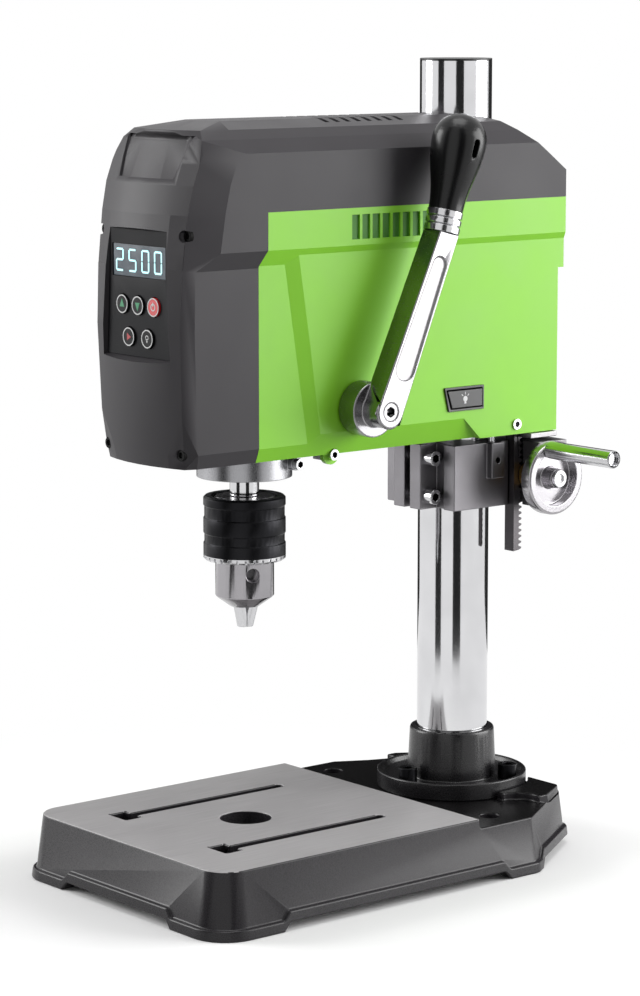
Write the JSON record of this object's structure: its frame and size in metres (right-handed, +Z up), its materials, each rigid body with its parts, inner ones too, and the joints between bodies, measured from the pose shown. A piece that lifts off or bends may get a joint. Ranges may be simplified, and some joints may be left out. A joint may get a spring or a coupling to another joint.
{
  "type": "drill press",
  "caption": "Motorised bench drill on a chromed column: slotted cast base, split clamp with rack-and-crank height drive, lever-fed quill with a keyed chuck, display and push buttons.",
  "frame": {"origin": "where the drill axis meets the table top, at the centre of the table's clearance hole", "axes": "+Z up along the drill axis, +Y from the drill axis back to the column, +X to the operator's right, the lever side"},
  "size_m": [0.1865, 0.2784, 0.4205],
  "materials": {
    "cast_paint": "grey hammered paint on the casting",
    "black_steel": "blackened steel",
    "chrome": "bright chromed steel",
    "satin_aluminium": "satin machined",
    "polished_lever": "satin chromed casting",
    "steel": "machined",
    "green_plastic": "bright green, satin",
    "dark_plastic": "dark grey, fine grain",
    "black_plastic": "black, smooth",
    "brass": "machined",
    "motor_grey": "grey enamel",
    "board_green": "circuit board",
    "belt_rubber": "smooth",
    "display": "clear window over a segment display",
    "green_button": "rubbery dome",
    "red_button": "rubbery dome",
    "grey_button": "rubbery dome",
    "lamp_lens": "frosted lamp window"
  },
  "bodies": {
    "base": {"base_casting": "cast_paint", "column_flange": "black_steel", "flange_screws": "black_steel", "column": "chrome", "column_cap": "black_plastic"},
    "clamp": {"clamp_block": "satin_aluminium", "pinch_screws": "chrome", "lug_screw": "black_steel", "guide_rod": "chrome", "pinion_bush": "brass"},
    "head": {"head_frame": "satin_aluminium", "nose_collar": "satin_aluminium", "socket_screws": "steel", "lift_rack": "black_steel", "right_cover": "green_plastic", "left_cover": "green_plastic", "front_fascia": "dark_plastic", "top_hood": "dark_plastic", "cover_screws": "steel", "fascia_screws": "black_steel", "display_panel": "black_plastic", "display_lens": "display", "control_board": "board_green", "motor": "motor_grey", "drive_belt": "belt_rubber", "pulley_bearing": "steel", "rocker_bezel": "black_plastic", "spring_cap": "black_plastic", "return_spring": "steel", "work_light": "lamp_lens", "cable_gland": "black_plastic"},
    "crank": {"crank_pinion": "steel", "crank_wheel": "chrome", "crank_screw": "chrome", "grip_pin": "chrome"},
    "grip": {"crank_grip": "chrome"},
    "feed": {"feed_pinion": "steel", "feed_lever": "polished_lever", "lever_collar": "chrome", "lever_knob": "black_plastic", "lever_screw": "steel"},
    "quill": {"quill": "chrome", "quill_rack": "steel", "quill_bearings": "steel"},
    "spindle": {"spindle": "chrome", "chuck_body": "chrome"},
    "chuck_sleeve": {"chuck_sleeve": "black_steel"},
    "jaw_1": {"jaw_1": "chrome"},
    "jaw_2": {"jaw_2": "chrome"},
    "jaw_3": {"jaw_3": "chrome"},
    "spindle_pulley": {"spindle_pulley": "satin_aluminium"},
    "motor_rotor": {"motor_shaft": "steel", "motor_pulley": "satin_aluminium"},
    "button_up": {"button_up": "green_button"},
    "button_down": {"button_down": "green_button"},
    "button_power": {"button_power": "red_button"},
    "button_start": {"button_start": "red_button"},
    "button_lamp": {"button_lamp": "grey_button"},
    "lamp_rocker": {"lamp_rocker": "black_plastic"}
  },
  "joints": [
    {"name": "collar_height", "type": "slide", "parent": "base", "child": "clamp", "axis": [0, 0, 1], "range_m": [-0.06, 0.05]},
    {"name": "head_lift", "type": "slide", "parent": "clamp", "child": "head", "axis": [0, 0, 1], "range_m": [0, 0.035]},
    {"name": "crank_turn", "type": "hinge", "parent": "clamp", "child": "crank", "pos_m": [0.044, 0.169, 0.1668], "axis": [1, 0, 0], "range_deg": [-335, 0]},
    {"name": "grip_spin", "type": "hinge", "parent": "crank", "child": "grip", "pos_m": [0.075, 0.16398, 0.18252], "axis": [1, 0, 0], "continuous": true},
    {"name": "quill_feed", "type": "slide", "parent": "head", "child": "quill", "axis": [0, 0, -1], "range_m": [0, 0.03], "stiffness_N_per_m": 400, "springref_m": -0.05},
    {"name": "lever_turn", "type": "hinge", "parent": "head", "child": "feed", "pos_m": [0, 0.044, 0.2133], "axis": [1, 0, 0], "range_deg": [0, 96]},
    {"name": "spindle_spin", "type": "hinge", "parent": "quill", "child": "spindle", "pos_m": [0, 0, 0.25], "axis": [0, 0, 1], "continuous": true},
    {"name": "sleeve_turn", "type": "hinge", "parent": "spindle", "child": "chuck_sleeve", "pos_m": [0, 0, 0.15], "axis": [0, 0, 1], "range_deg": [0, 2160.2]},
    {"name": "jaw_1_slide", "type": "slide", "parent": "spindle", "child": "jaw_1", "axis": [0.1899, 0.1499, 0.9703], "range_m": [0, 0.018]},
    {"name": "jaw_2_slide", "type": "slide", "parent": "spindle", "child": "jaw_2", "axis": [-0.2248, 0.0894, 0.9703], "range_m": [0, 0.018]},
    {"name": "jaw_3_slide", "type": "slide", "parent": "spindle", "child": "jaw_3", "axis": [0.0349, -0.2394, 0.9703], "range_m": [0, 0.018]},
    {"name": "spindle_pulley_spin", "type": "hinge", "parent": "head", "child": "spindle_pulley", "pos_m": [0, 0, 0.318], "axis": [0, 0, 1], "continuous": true},
    {"name": "motor_spin", "type": "hinge", "parent": "head", "child": "motor_rotor", "pos_m": [0, 0.076, 0.318], "axis": [0, 0, 1], "continuous": true},
    {"name": "press_up", "type": "slide", "parent": "head", "child": "button_up", "axis": [0, 1, 0], "range_m": [0, 0.0006], "stiffness_N_per_m": 800},
    {"name": "press_down", "type": "slide", "parent": "head", "child": "button_down", "axis": [0, 1, 0], "range_m": [0, 0.0006], "stiffness_N_per_m": 800},
    {"name": "press_power", "type": "slide", "parent": "head", "child": "button_power", "axis": [0, 1, 0], "range_m": [0, 0.0006], "stiffness_N_per_m": 800},
    {"name": "press_start", "type": "slide", "parent": "head", "child": "button_start", "axis": [0, 1, 0], "range_m": [0, 0.0006], "stiffness_N_per_m": 800},
    {"name": "press_lamp", "type": "slide", "parent": "head", "child": "button_lamp", "axis": [0, 1, 0], "range_m": [0, 0.0006], "stiffness_N_per_m": 800},
    {"name": "lamp_switch", "type": "hinge", "parent": "head", "child": "lamp_rocker", "pos_m": [0.036, 0.1151, 0.2123], "axis": [0, 0, 1], "range_deg": [-6, 6]}
  ],
  "couplings": [
    {"joint": "crank_turn", "follows": "head_lift", "rad_per_m": -166.67},
    {"joint": "lever_turn", "follows": "quill_feed", "rad_per_m": 55.556},
    {"joint": "spindle_pulley_spin", "follows": "spindle_spin", "ratio": 1},
    {"joint": "motor_spin", "follows": "spindle_spin", "ratio": 1},
    {"joint": "sleeve_turn", "follows": "jaw_1_slide", "rad_per_m": 2094.4},
    {"joint": "jaw_2_slide", "follows": "jaw_1_slide", "ratio": 1},
    {"joint": "jaw_3_slide", "follows": "jaw_1_slide", "ratio": 1}
  ]
}
